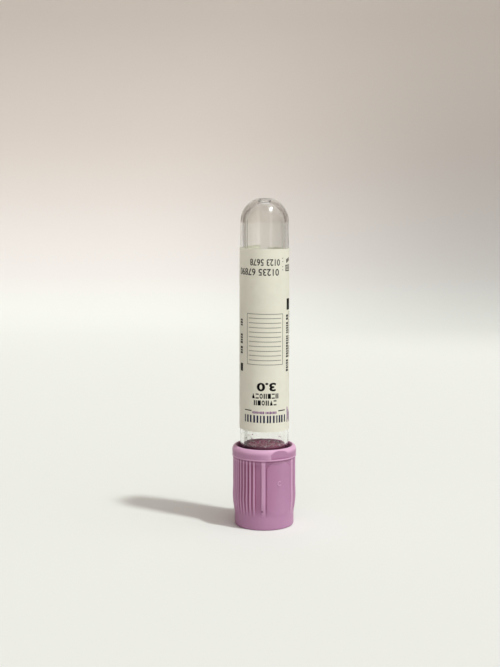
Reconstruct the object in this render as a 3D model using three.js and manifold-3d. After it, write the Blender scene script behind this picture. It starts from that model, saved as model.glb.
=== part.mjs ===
// Blood collection tube, nominal 13 x 75 mm, standing on its closure with the round end up.
// Millimetres, +Z up. The origin is the centre of the closure's end face, which it stands on.
// The axis of every piece is the Z axis. The front is -Y.

import * as THREE from 'three';
import { mergeVertices } from 'three/addons/utils/BufferGeometryUtils.js';
import Module from 'manifold-3d';

const wasm = await Module();
wasm.setup();

// ---- Driving dimensions -------------------------------------------------------------------

// Tube: a clear moulded tube with a little draft, so that its bore is widest at the mouth.
const tubeLength = 75.0; // from the mouth's rim to the gate's rim on the round end
const tubeMouthRadius = 6.3; // outside, at the mouth
const tubeDomeRadius = 6.19; // outside, where the round end starts
const mouthWall = 0.9;
const domeWall = 0.98;
const endWall = 1.15; // on the axis, from the gate's rim to the inside of the round end
const mouthRound = 0.3;
const gateRadius = 1.75; // the shallow bowl that the moulding gate leaves on the round end
const gateDepth = 0.65;
const gateNubRadius = 0.45;
const gateNubHeight = 0.3;

// Label: paper wrapped round the tube, short of a full turn, so that a clear window is left.
const labelOffset = 15.7; // from the mouth's rim to the label's near edge
const labelEndGap = 6.56; // from the label's far edge to where the round end starts
const labelThickness = 0.1;
const labelGap = 0.05; // the adhesive's thickness
const windowAngle = 20; // degrees left uncovered, at the back

// Stopper: a rubber head inside the cap, and a plug that fills the mouth of the bore.
const stopperHeadHeight = 7.1;
const stopperHeadRound = 0.4;
const plugLength = 11.55;
const plugClearance = 0.05;
const plugRound = 0.3;
const needleWellRadius = 3.1;
const needleWellDepth = 7.5;
const dishRadius = 3.9; // the shallow dish in the plug's inner face
const dishFloorRadius = 3.3;
const dishDepth = 0.5;

// Cap: the outer shield. Its smooth wall swells a little where the fingers pull.
const capHeight = 21.1;
const capFloor = 2.6;
const capTubeClearance = 0.6; // between the tube's mouth and the cap's bore
const capHeadClearance = 0.1; // between the stopper's head and the cap's bore
const needleOpeningRadius = 4.2;
const needleOpeningChamfer = 0.4;
const footWall = 0.82;
const footRound = 0.5;
const footTop = 3.2;
const bulgeWall = 1.07; // where the wall swells most
const bulgeHeight = 8.0;
const bodyWall = 0.98;
const bodyStart = 11.5; // the wall is straight from here up to the collar
const seatGap = 0.05; // between faces that rest on each other

// Collar: the thick rolled rim round the cap's open end, with a fine lip along its lower edge.
const collarWall = 1.43;
const collarHeight = 2.85;
const crownInset = 0.55; // from the bore out to where the rolled rim is highest
const crownDrop = 1.35; // from the crown down to the collar's straight side
const crownInnerDrop = 0.6;
const lipHeight = 0.35;
const lipStep = 0.06;
const collarTrim = 0.43; // how deep the flat above each grip pad cuts into the collar

// Snap ring: the inward ring in the cap's bore that holds the stopper's head down.
const snapTubeClearance = 0.25;
const snapHeight = 0.8;

// Grip: ribs in two groups, and between them two gently crowned pads, each between two beads.
const gripTurn = 29.5; // degrees from the front to the middle of the first pad
const ribHeight = 0.25;
const ribFoot = 3.4; // the ribs rise out of the wall here
const ribRunOut = 4.0; // and reach full height this much further up
const ribsPerGroup = 12;
const ribPitch = 7.36; // degrees
const ribBaseWidth = 0.72;
const ribCrestWidth = 0.44;
const barRootGap = 0.05; // from the bore to the roots of the ribs and beads
const beadAngle = 31.3; // degrees from the middle of a pad to the middle of its bead
const beadBaseWidth = 1.25;
const beadCrestWidth = 0.85;
const padGroove = 0.25; // between a pad's edge and its bead
const padSink = 0.08; // how far the middle of a pad's face lies inside the straight wall
const padCrownRadius = 13.0; // the face's own radius in plan
const padShoulder = 2.0; // the arched top's rise, from its shoulders to the collar

// Fineness of the round surfaces.
const turnSegments = 48;
const arcDivisions = 2; // half the number of steps in each arc of a profile
const domeDivisions = 5;
const padSegments = 64;
const wallSteps = 6;
const weldDistance = 1e-5;
const cutMargin = 1.0; // how far a cutting tool reaches past what it cuts

// ---- Fits worked out from them ------------------------------------------------------------

const mouthHeight = capFloor + stopperHeadHeight + 2 * seatGap;
const collarBase = capHeight - collarHeight;
const capBore = tubeMouthRadius + capTubeClearance;
const footRadius = capBore + footWall;
const bulgeRadius = capBore + bulgeWall;
const bodyRadius = capBore + bodyWall;
const collarRadius = capBore + collarWall;
const crownRadius = capBore + crownInset;
const snapRadius = tubeMouthRadius + snapTubeClearance;
const headRadius = capBore - capHeadClearance;
const beadOffset = (bodyRadius + ribHeight) * Math.sin(THREE.MathUtils.degToRad(beadAngle));
const padHalfWidth = beadOffset - beadBaseWidth / 2 - padGroove;
const padFront = bodyRadius - padSink;
const boreMouthRadius = tubeMouthRadius - mouthWall;
const boreDomeRadius = tubeDomeRadius - domeWall;
const domeCentre = tubeLength - Math.sqrt(tubeDomeRadius ** 2 - gateRadius ** 2);
const boreDomeCentre = tubeLength - endWall - boreDomeRadius;

const { lerp, smoothstep, clamp, degToRad } = THREE.MathUtils;

// Outer radius of the tube, and radius of its bore, at a distance from the mouth.
const tubeRadiusAt = (distance) => lerp(tubeMouthRadius, tubeDomeRadius, distance / domeCentre);
const boreRadiusAt = (distance) => lerp(boreMouthRadius, boreDomeRadius, distance / boreDomeCentre);

// Radius of the cap's smooth wall at a height: foot, swell, then the straight body.
function capRadiusAt(height) {
  const swell = (bulgeRadius - footRadius) * smoothstep(height, footTop, bulgeHeight);
  const settle = (bodyRadius - bulgeRadius) * smoothstep(height, bulgeHeight, bodyStart);
  return footRadius + swell + settle;
}

// Radius of the ribs' crests at a height. They rise out of the wall in an easing curve.
function crestRadiusAt(height) {
  const rise = clamp((height - ribFoot) / ribRunOut, 0, 1);
  return capRadiusAt(height) + ribHeight * rise * (2 - rise);
}

// ---- Solids -------------------------------------------------------------------------------

// A closed geometry as a solid: shared vertices welded, flat triangles at the poles dropped.
function solidFrom(geometry) {
  geometry.deleteAttribute('normal');
  geometry.deleteAttribute('uv');
  const welded = mergeVertices(geometry, weldDistance);
  const corners = welded.index.array;
  const kept = [];
  for (let i = 0; i < corners.length; i += 3) {
    const [a, b, c] = corners.slice(i, i + 3);
    if (a !== b && b !== c && c !== a) kept.push(a, b, c);
  }
  return new wasm.Manifold(new wasm.Mesh({
    numProp: 3,
    vertProperties: welded.attributes.position.array,
    triVerts: Uint32Array.from(kept),
  }));
}

// A solid as a geometry with flat shading.
function geometryFrom(solid) {
  const { vertProperties, triVerts } = solid.getMesh();
  const indexed = new THREE.BufferGeometry();
  indexed.setAttribute('position', new THREE.BufferAttribute(vertProperties, 3));
  indexed.setIndex(new THREE.BufferAttribute(triVerts, 1));
  const geometry = indexed.toNonIndexed();
  geometry.computeVertexNormals();
  return geometry;
}

// Turns a profile of (radius, height) points round the Z axis. The profile runs down the
// inside and up the outside, from the axis to the axis, or round a closed ring.
function turned(points) {
  const geometry = new THREE.LatheGeometry(points, turnSegments);
  geometry.rotateX(Math.PI / 2);
  return solidFrom(geometry);
}

// Extrudes flat shapes drawn in the XY plane from one height to another.
function raised(shapes, bottom, top) {
  const geometry = new THREE.ExtrudeGeometry(shapes, { depth: top - bottom, bevelEnabled: false });
  geometry.translate(0, 0, bottom);
  return solidFrom(geometry);
}

// ---- Tube, from its mouth at height 0 up to the round end ----------------------------------

function makeTube() {
  const bowlRadius = (gateRadius ** 2 + gateDepth ** 2) / (2 * gateDepth);
  const bowlCentre = tubeLength - gateDepth + bowlRadius;
  const bowlRimAngle = Math.asin(gateRadius / bowlRadius);
  const bowlNubAngle = Math.asin(gateNubRadius / bowlRadius);
  const gateAngle = Math.acos(gateRadius / tubeDomeRadius);
  const nubTop = tubeLength - gateDepth + gateNubHeight;

  const quarter = Math.PI / 2;

  const insideDome = new THREE.Path();
  insideDome.absarc(0, boreDomeCentre, boreDomeRadius, quarter, 0, true);
  const mouth = new THREE.Path();
  mouth.absarc(boreMouthRadius + mouthRound, mouthRound, mouthRound, 2 * quarter, 3 * quarter, false);
  mouth.absarc(tubeMouthRadius - mouthRound, mouthRound, mouthRound, 3 * quarter, 4 * quarter, false);
  const outsideDome = new THREE.Path();
  outsideDome.absarc(0, domeCentre, tubeDomeRadius, 0, gateAngle, false);
  const gate = new THREE.Path();
  gate.absarc(0, bowlCentre, bowlRadius, 3 * quarter + bowlRimAngle, 3 * quarter + bowlNubAngle, true);
  gate.lineTo(gateNubRadius, nubTop);
  gate.lineTo(0, nubTop);
  const points = [
    ...insideDome.getPoints(domeDivisions),
    ...mouth.getPoints(arcDivisions),
    ...outsideDome.getPoints(domeDivisions),
    ...gate.getPoints(arcDivisions),
  ];
  points[0].x = 0;
  return geometryFrom(turned(points));
}

// ---- Label, on the tube's own heights -------------------------------------------------------

function makeLabel() {
  const start = labelOffset;
  const end = domeCentre - labelEndGap;
  const inner = (distance) => tubeRadiusAt(distance) + labelGap;
  const outer = (distance) => inner(distance) + labelThickness;
  const ring = turned([
    new THREE.Vector2(inner(start), start),
    new THREE.Vector2(outer(start), start),
    new THREE.Vector2(outer(end), end),
    new THREE.Vector2(inner(end), end),
    new THREE.Vector2(inner(start), start),
  ]);
  const reach = tubeMouthRadius + cutMargin;
  const spread = reach * Math.tan(degToRad(windowAngle / 2));
  const wedge = new THREE.Shape([
    new THREE.Vector2(0, 0),
    new THREE.Vector2(spread, reach),
    new THREE.Vector2(-spread, reach),
  ]);
  return geometryFrom(ring.subtract(raised(wedge, start - cutMargin, end + cutMargin)));
}

// ---- Stopper, from the head's outer face at height 0 -----------------------------------------

function makeStopper() {
  const headTop = stopperHeadHeight;
  const plugStart = boreRadiusAt(0) - plugClearance;
  const plugEnd = boreRadiusAt(plugLength) - plugClearance;
  const faceHeight = headTop + seatGap + plugLength;
  const quarter = Math.PI / 2;

  const profile = new THREE.Path();
  profile.moveTo(0, needleWellDepth);
  profile.lineTo(needleWellRadius, needleWellDepth);
  profile.lineTo(needleWellRadius, 0);
  const roundHead = headRadius - stopperHeadRound;
  profile.absarc(roundHead, stopperHeadRound, stopperHeadRound, 3 * quarter, 4 * quarter, false);
  profile.absarc(roundHead, headTop - stopperHeadRound, stopperHeadRound, 0, quarter, false);
  profile.lineTo(plugStart, headTop);
  profile.absarc(plugEnd - plugRound, faceHeight - plugRound, plugRound, 0, quarter, false);
  profile.lineTo(dishRadius, faceHeight);
  profile.lineTo(dishFloorRadius, faceHeight - dishDepth);
  profile.lineTo(0, faceHeight - dishDepth);
  return geometryFrom(turned(profile.getPoints(arcDivisions)));
}

// ---- Cap, with the first pad facing the front before the grip's turn ---------------------------

// The smooth shell, with its bore, snap ring, needle opening, collar and lip.
function makeShell() {
  const quarter = Math.PI / 2;
  const snapBase = mouthHeight + 2 * seatGap;
  const lipTop = collarBase + lipHeight;

  const profile = new THREE.Path();
  profile.moveTo(needleOpeningRadius, needleOpeningChamfer);
  profile.lineTo(needleOpeningRadius + needleOpeningChamfer, 0);
  profile.absarc(footRadius - footRound, footRound, footRound, 3 * quarter, 4 * quarter, false);
  for (let i = 0; i <= wallSteps; i += 1) {
    const height = lerp(footTop, bodyStart, i / wallSteps);
    profile.lineTo(capRadiusAt(height), height);
  }
  profile.lineTo(bodyRadius, collarBase);
  profile.lineTo(collarRadius, collarBase);
  profile.lineTo(collarRadius, lipTop);
  profile.lineTo(collarRadius - lipStep, lipTop + lipStep);
  profile.absellipse(crownRadius, capHeight - crownDrop, collarRadius - crownRadius, crownDrop, 0, quarter);
  profile.absellipse(crownRadius, capHeight - crownInnerDrop, crownRadius - capBore, crownInnerDrop,
    quarter, 2 * quarter);
  profile.lineTo(capBore, snapBase + snapHeight);
  profile.lineTo(snapRadius, snapBase + snapHeight / 2);
  profile.lineTo(snapRadius, snapBase);
  profile.lineTo(capBore, snapBase);
  profile.lineTo(capBore, capFloor);
  profile.lineTo(needleOpeningRadius, capFloor);
  profile.lineTo(needleOpeningRadius, needleOpeningChamfer);
  return turned(profile.getPoints(arcDivisions));
}

// An upright bar on the front: its outline in the plane through the axis runs up the crest and
// down inside the wall, and its flanks slope from the base's width to the crest's.
function makeBar(baseWidth, crestWidth) {
  const root = capBore + barRootGap;
  const top = collarBase + lipHeight / 2;
  const outline = new THREE.Shape();
  outline.moveTo(root, ribFoot);
  for (let i = 0; i <= wallSteps; i += 1) {
    const height = lerp(ribFoot, bodyStart, i / wallSteps);
    outline.lineTo(crestRadiusAt(height), height);
  }
  outline.lineTo(crestRadiusAt(top), top);
  outline.lineTo(root, top);
  const geometry = new THREE.ExtrudeGeometry(outline, {
    depth: crestWidth,
    bevelThickness: (baseWidth - crestWidth) / 2,
    bevelSize: ribHeight,
    bevelOffset: -ribHeight,
    bevelSegments: 1,
  });
  geometry.translate(0, 0, -crestWidth / 2);
  geometry.rotateX(Math.PI / 2);
  geometry.rotateZ(-Math.PI / 2);
  return solidFrom(geometry);
}

// The ribs and beads of both halves of the grip.
function makeBars() {
  const rib = makeBar(ribBaseWidth, ribCrestWidth);
  const bead = makeBar(beadBaseWidth, beadCrestWidth);
  const bars = [];
  for (const half of [0, 180]) {
    for (let i = 0; i < ribsPerGroup; i += 1) {
      bars.push(rib.rotate([0, 0, half + 90 + (i - (ribsPerGroup - 1) / 2) * ribPitch]));
    }
    for (const side of [-1, 1]) bars.push(bead.rotate([0, 0, half + side * beadAngle]));
  }
  return bars;
}

// Everything inside the ribs' crests, from where they rise to the collar.
function makeCrestEnvelope() {
  const top = collarBase + lipHeight / 2;
  const points = [new THREE.Vector2(0, ribFoot)];
  for (let i = 0; i <= wallSteps; i += 1) {
    const height = lerp(ribFoot, bodyStart, i / wallSteps);
    points.push(new THREE.Vector2(crestRadiusAt(height), height));
  }
  points.push(new THREE.Vector2(crestRadiusAt(top), top), new THREE.Vector2(0, top));
  return turned(points);
}

// The upright prism that a pad's arched outline cuts, out through the front.
function makePadPrism() {
  const shoulder = collarBase - padShoulder;
  const archRadius = (padHalfWidth ** 2 + padShoulder ** 2) / (2 * padShoulder);
  const archAngle = Math.asin(padHalfWidth / archRadius);
  const outline = new THREE.Shape();
  outline.moveTo(-padHalfWidth, ribFoot - cutMargin);
  outline.lineTo(padHalfWidth, ribFoot - cutMargin);
  outline.lineTo(padHalfWidth, shoulder);
  const archStart = Math.PI / 2 - archAngle;
  const archEnd = Math.PI / 2 + archAngle;
  outline.absarc(0, collarBase - archRadius, archRadius, archStart, archEnd, false);
  const depth = collarRadius + cutMargin - capBore;
  const geometry = new THREE.ExtrudeGeometry(outline, { depth, bevelEnabled: false, curveSegments: 8 });
  geometry.rotateX(Math.PI / 2);
  geometry.translate(0, -(capBore + bodyRadius) / 2, 0);
  return solidFrom(geometry);
}

// The large cylinder whose front is the pad's crowned face.
function makePadCrown() {
  const geometry = new THREE.CylinderGeometry(padCrownRadius, padCrownRadius, capHeight, padSegments);
  geometry.rotateX(Math.PI / 2);
  geometry.translate(0, padCrownRadius - padFront, capHeight / 2);
  return solidFrom(geometry);
}

// The block that trims the collar flat above a pad.
function makeCollarTrim() {
  const bottom = collarBase + lipHeight;
  const height = capHeight + cutMargin - bottom;
  const depth = collarTrim + cutMargin;
  const geometry = new THREE.BoxGeometry(2 * collarRadius, depth, height);
  geometry.translate(0, -(collarRadius - collarTrim + depth / 2), bottom + height / 2);
  return solidFrom(geometry);
}

function makeCap() {
  const envelope = makeCrestEnvelope();
  const prism = makePadPrism();
  const crown = makePadCrown();
  const trim = makeCollarTrim();
  let cap = makeShell();
  for (const turn of [0, 180]) {
    const around = [0, 0, turn];
    cap = cap.subtract(prism.subtract(crown).rotate(around));
    cap = cap.subtract(trim.rotate(around));
    cap = cap.add(prism.intersect(crown).intersect(envelope).rotate(around));
  }
  for (const bar of makeBars()) cap = cap.add(bar);
  return geometryFrom(cap);
}

// ---- Assembly -----------------------------------------------------------------------------

const materials = {
  tube: new THREE.MeshStandardMaterial({
    color: 0xe6e6dd, roughness: 0.08, metalness: 0, transparent: true, opacity: 0.3,
  }),
  label: new THREE.MeshStandardMaterial({ color: 0xe4e2d2, roughness: 0.6, metalness: 0 }),
  stopper: new THREE.MeshStandardMaterial({ color: 0x6b4660, roughness: 0.8, metalness: 0 }),
  cap: new THREE.MeshStandardMaterial({ color: 0xb98ba8, roughness: 0.45, metalness: 0 }),
};

function piece(name, geometry) {
  const mesh = new THREE.Mesh(geometry, materials[name]);
  mesh.name = name;
  return mesh;
}

const body = new THREE.Group();
body.add(piece('tube', makeTube()), piece('label', makeLabel()));
body.position.z = mouthHeight;

const cap = piece('cap', makeCap());
cap.rotation.z = degToRad(gripTurn);
const stopper = piece('stopper', makeStopper());
stopper.position.z = capFloor + seatGap;
const closure = new THREE.Group();
closure.add(cap, stopper);

const collectionTube = new THREE.Group();
collectionTube.add(body, closure);

export default collectionTube;
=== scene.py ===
"""The looks of a blood collection tube that stands on its cap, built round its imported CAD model.

Everything is in metres, in the CAD model's frame: +Z up, the tube's axis on Z, the front at -Y.
A turn is an angle round Z, from +X towards +Y. Rows of a surface follow its profile, which runs
up the outside and down the inside, and its columns go round Z, so that every face points out.
"""

import math

import bmesh
import bpy
import numpy as np
from bpy.props import FloatProperty, FloatVectorProperty, IntProperty, PointerProperty
from bpy.types import Operator, Panel, PropertyGroup
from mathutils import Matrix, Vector


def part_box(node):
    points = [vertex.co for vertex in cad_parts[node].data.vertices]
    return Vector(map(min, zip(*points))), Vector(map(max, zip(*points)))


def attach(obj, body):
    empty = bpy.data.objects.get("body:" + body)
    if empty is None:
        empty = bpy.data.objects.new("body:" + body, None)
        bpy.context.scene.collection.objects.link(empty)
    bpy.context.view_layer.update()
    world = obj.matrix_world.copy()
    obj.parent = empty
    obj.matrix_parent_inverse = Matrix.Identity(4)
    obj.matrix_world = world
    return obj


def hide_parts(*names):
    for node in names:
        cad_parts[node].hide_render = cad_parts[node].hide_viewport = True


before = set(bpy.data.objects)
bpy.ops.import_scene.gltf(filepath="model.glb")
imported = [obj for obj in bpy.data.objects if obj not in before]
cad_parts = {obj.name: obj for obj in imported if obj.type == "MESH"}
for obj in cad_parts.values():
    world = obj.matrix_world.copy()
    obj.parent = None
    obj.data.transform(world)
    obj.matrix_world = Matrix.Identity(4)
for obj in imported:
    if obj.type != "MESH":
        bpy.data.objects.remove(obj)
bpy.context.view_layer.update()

bl_info = {
    "name": "Blood Collection Tube",
    "version": (1, 0, 0),
    "blender": (4, 5, 0),
    "location": "3D View > Sidebar > Collection Tube",
    "description": "Builds a clear collection tube with its label, rubber stopper and ribbed cap",
    "category": "Add Mesh",
}

MM = 0.001
TUBE_LOW, TUBE_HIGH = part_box("tube")
LABEL_LOW, LABEL_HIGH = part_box("label")
STOPPER_LOW, STOPPER_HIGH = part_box("stopper")
CAP_LOW, CAP_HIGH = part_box("cap")
FRONT_TURN = math.radians(-90)
SHARP_EDGE = math.radians(42)
SENSOR_WIDTH = 36.0  # in millimetres, as lenses are

# The cap's painted light and shade, which its material reads: 0 is a painted shade as in a deep groove,
# 1 a painted highlight as on a sharp edge.
SHADED = 0.2
PLAIN = 0.5


# ---- Properties ------------------------------------------------------------------------------

def length(name, description, default):
    """A length in metres, shown in the scene's units."""
    return FloatProperty(
        name=name, description=description, default=default, unit="LENGTH", precision=5
    )


def angle(name, description, degrees):
    """An angle, given in degrees and kept in radians."""
    return FloatProperty(
        name=name, description=description, default=math.radians(degrees), unit="ROTATION"
    )


def colour(name, description, default):
    """A linear colour."""
    return FloatVectorProperty(
        name=name, description=description, default=default, subtype="COLOR", size=3, min=0, max=1
    )


def place(name, description, default):
    """A place in metres."""
    return FloatVectorProperty(
        name=name, description=description, default=default, subtype="XYZ", unit="LENGTH", size=3
    )


def amount(name, description, default):
    """A plain number."""
    return FloatProperty(name=name, description=description, default=default)


def count(name, description, default):
    """A whole number."""
    return IntProperty(name=name, description=description, default=default, min=1)


class TubeSizes(PropertyGroup):
    """Sizes of the clear tube, whose bore is widest at the mouth."""

    dome_radius: length("Dome radius", "Outer radius where the round end starts", 6.19 * MM)
    mouth_wall: length("Mouth wall", "Thickness of the wall at the mouth", 0.9 * MM)
    dome_wall: length("Dome wall", "Thickness of the wall where the round end starts", 0.98 * MM)
    end_wall: length("End wall", "Thickness on the axis, below the gate's rim", 1.15 * MM)
    mouth_round: length("Mouth round", "Radius of the mouth's two edges", 0.3 * MM)
    gate_radius: length("Gate radius", "Radius of the bowl left by the moulding gate", 1.75 * MM)
    gate_depth: length("Gate depth", "Depth of that bowl", 0.65 * MM)
    gate_round: length("Gate round", "Softness of the bowl's rim", 0.12 * MM)
    nub_radius: length("Nub radius", "Radius of the gate's nub in the bowl", 0.45 * MM)
    nub_height: length("Nub height", "Height of the gate's nub", 0.3 * MM)
    # Turn of a painted dark line that stands in for a dark refraction down the clear wall.
    dark_line_turn: angle("Parting line", "Turn of the mould's parting line", 218)
    columns: count("Columns", "Steps round the axis", 256)


class LabelSizes(PropertyGroup):
    """Sizes of the paper label and its print."""

    window: angle("Window", "The part of the turn left bare at the back", 20)
    skew: amount("Skew", "How much the wrapped label climbs to the left, as a slope", 0.015)
    ink_height: length("Ink height", "How far the ink stands on the paper", 0.015 * MM)
    ink_gap: length("Ink gap", "Sliver that keeps the ink's lower face off the paper", 0.004 * MM)
    ink_step: length("Ink step", "Longest stretch of ink without a bend", 0.25 * MM)
    seed: count("Seed", "Start of the random draws for the small print", 3)
    columns: count("Columns", "Steps round the label", 340)
    rows: count("Rows", "Steps up the label", 60)


class StopperSizes(PropertyGroup):
    """Sizes of the rubber stopper: a head inside the cap and a plug inside the tube."""

    head_height: length("Head height", "Height of the head", 7.1 * MM)
    head_round: length("Head round", "Radius of the head's edges", 0.4 * MM)
    plug_foot: length("Plug foot", "Radius of the plug at the tube's mouth", 5.35 * MM)
    foot_edge: length("Foot edge", "Size of the chamfer where the plug leaves the head", 0.15 * MM)
    plug_tip: length("Plug tip", "Radius of the plug at its inner face", 5.31 * MM)
    plug_round: length("Plug round", "Radius of the plug's edge", 0.35 * MM)
    well_radius: length("Well radius", "Radius of the well that the needle goes in through", 3.1 * MM)
    well_depth: length("Well depth", "Depth of that well", 7.5 * MM)
    dish_radius: length("Dish radius", "Radius of the shallow dish in the inner face", 3.9 * MM)
    dish_floor: length("Dish floor", "Radius of the dish's floor", 3.3 * MM)
    dish_depth: length("Dish depth", "Depth of that dish", 0.5 * MM)
    edge_round: length("Edge round", "Radius of the edges of the well", 0.3 * MM)
    columns: count("Columns", "Steps round the axis", 192)


class CapSizes(PropertyGroup):
    """Sizes of the moulded cap with its rolled collar, ribs, beads and pads."""

    bore: length("Bore", "Radius of the bore", 6.9 * MM)
    floor: length("Floor", "Thickness of the end wall", 2.6 * MM)
    opening_radius: length("Opening radius", "Radius of the needle's opening", 4.2 * MM)
    opening_chamfer: length("Opening chamfer", "Chamfer of the opening's outer edge", 0.4 * MM)
    foot_radius: length("Foot radius", "Outer radius at the foot", 7.72 * MM)
    foot_round: length("Foot round", "Radius of the foot's edge", 0.5 * MM)
    foot_top: length("Foot top", "Height where the wall starts to swell", 3.2 * MM)
    swell_radius: length("Swell radius", "Outer radius where the wall swells most", 7.97 * MM)
    swell_height: length("Swell height", "Height of the swell", 8.0 * MM)
    body_radius: length("Body radius", "Outer radius of the straight wall", 7.88 * MM)
    body_start: length("Body start", "Height where the straight wall starts", 11.5 * MM)
    collar_height: length("Collar height", "Height of the collar", 2.85 * MM)
    collar_radius: length("Collar radius", "Outer radius of the collar", 8.33 * MM)
    crown_radius: length("Crown radius", "Radius at which the rolled rim is highest", 7.45 * MM)
    crown_drop: length("Crown drop", "From the crown down to the collar's straight side", 1.35 * MM)
    crown_inner_drop: length("Inner drop", "From the crown down to the bore", 0.6 * MM)
    lip_height: length("Lip height", "Height of the fine lip under the collar", 0.35 * MM)
    lip_step: length("Lip step", "How far the collar lies inside the lip", 0.06 * MM)
    edge_round: length("Edge round", "Radius of the lip's and the collar's small edges", 0.07 * MM)
    collar_trim: length("Collar trim", "Depth of the flat cut into the collar above a pad", 0.43 * MM)
    snap_radius: length("Snap radius", "Radius inside the ring that holds the stopper", 6.55 * MM)
    snap_base: length("Snap base", "Height of that ring's lower face", 9.9 * MM)
    snap_height: length("Snap height", "Height of that ring", 0.8 * MM)
    grip_turn: angle("Grip turn", "From the front to the middle of the first pad", 29.5)
    rib_height: length("Rib height", "How far ribs and beads stand out", 0.25 * MM)
    rib_foot: length("Rib foot", "Height where the ribs leave the wall", 3.4 * MM)
    rib_run_out: length("Rib run-out", "Height over which they reach their full size", 4.0 * MM)
    ribs: count("Ribs", "Ribs in each of the two groups", 12)
    rib_pitch: angle("Rib pitch", "From one rib to the next", 7.36)
    rib_base: length("Rib base", "Width of a rib at the wall", 0.86 * MM)
    rib_crest: length("Rib crest", "Width of a rib's rounded top", 0.28 * MM)
    bead_angle: angle("Bead angle", "From the middle of a pad to the middle of its bead", 31.9)
    bead_base: length("Bead base", "Width of a bead at the wall", 1.4 * MM)
    bead_crest: length("Bead crest", "Width of a bead's rounded top", 0.6 * MM)
    pad_width: length("Pad width", "Half the width of a pad", 3.35 * MM)
    pad_front: length("Pad front", "From the axis to the middle of a pad's face", 7.8 * MM)
    pad_crown: length("Pad crown", "Radius of a pad's face, seen from above", 13.0 * MM)
    pad_shoulder: length("Pad shoulder", "Rise of the arch at a pad's top", 2.0 * MM)
    pad_edge: length("Pad edge", "Half the width of the slope round a pad", 0.13 * MM)
    mark_radius: length("Mark radius", "Radius of the mould's pin mark on the front pad", 0.5 * MM)
    mark_height: length("Mark height", "Height of the pin mark on the wall", 12.2 * MM)
    mark_rise: length("Mark rise", "How far the pin mark's rim stands out", 0.12 * MM)
    columns: count("Columns", "Steps round the axis", 720)


class ResidueSizes(PropertyGroup):
    """Sizes of the dried additive's droplets inside the tube."""

    wall_droplets: count("Wall droplets", "Droplets on the bore below the label", 26)
    face_droplets: count("Face droplets", "Droplets on the stopper's inner face", 150)
    smallest: length("Smallest", "Radius of the smallest droplet", 0.04 * MM)
    largest: length("Largest", "Radius of the largest droplet", 0.22 * MM)
    face_smallest: length("Face smallest", "Radius of the smallest one on the face", 0.07 * MM)
    face_largest: length("Face largest", "Radius of the largest one on the face", 0.2 * MM)
    seed: count("Seed", "Start of the random draws", 7)


class Colours(PropertyGroup):
    """Linear colours of the finishes."""

    cap: colour("Cap", "Lilac plastic of the cap", (0.470, 0.243, 0.400))
    # Painted shade: a deep lilac that stands in for the shade in grooves, under the collar and inside
    # the cap.
    cap_painted_shade: colour("Cap grooves", "The same where it lies deep", (0.230, 0.045, 0.115))
    # Painted highlight: a pale lilac that stands in for light on the crown, the lip, the rib crests and
    # cut edges.
    cap_painted_highlight: colour("Cap edges", "The same where it stands out", (0.780, 0.470, 0.670))
    dirt: colour("Dirt", "Speck of dirt on the cap", (0.090, 0.035, 0.060))
    stopper: colour("Stopper", "Mauve rubber", (0.66, 0.17, 0.33))
    polyester: colour("Polyester", "Tint of the clear tube just above its label", (0.935, 0.930, 0.905))
    polyester_clear: colour("Clear polyester", "The same at both ends of the tube", (0.99, 0.99, 0.98))
    # Haze of the random flow streaks, and also a painted shade on the left side of the clear wall.
    haze_and_shade: colour("Haze_and_shade", "The same in its flow streaks", (0.60, 0.60, 0.56))
    # Painted shade: a dark line that stands in for a dark refraction in the clear wall.
    seam: colour("Seam", "The same along its parting line", (0.10, 0.10, 0.09))
    # Painted shade: a dark ring in the gate's bowl that stands in for the dark line the clear end
    # shows.
    gate_painted_shade: colour("Gate ring", "The same round the floor of the gate's bowl", (0.10, 0.10, 0.08))
    tube_shadow: colour("Tube shadow", "Share of the light that the tube lets by", (0.93, 0.93, 0.92))
    paper: colour("Paper", "Cream paper of the label", (0.960, 0.945, 0.820))
    black_ink: colour("Black ink", "Ink of the numbers and blocks", (0.003, 0.002, 0.002))
    grey_ink: colour("Grey ink", "Ink of the ruled panel", (0.300, 0.290, 0.240))
    navy_ink: colour("Navy ink", "Ink of the strip of bars", (0.014, 0.016, 0.060))
    violet_ink: colour("Violet ink", "Ink of the small violet marks", (0.230, 0.085, 0.260))
    residue: colour("Residue", "Dried additive", (0.900, 0.700, 0.820))
    floor: colour("Floor", "Floor of the stage", (0.858, 0.885, 0.850))
    wall_foot: colour("Wall foot", "Foot of the backdrop", (0.830, 0.810, 0.790))
    wall_top: colour("Wall top", "Backdrop above its foot", (0.710, 0.645, 0.594))
    key_light: colour("Key light", "Light of the lamp", (0.960, 1.000, 0.985))
    glow: colour("Glow", "Even light in front of the object and above it", (1.000, 0.985, 0.960))
    room: colour("Room", "What the tube shows of the room round it", (1.000, 0.970, 0.930))
    ambient: colour("Ambient", "Even light from everywhere else", (1.000, 0.760, 0.700))


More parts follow.
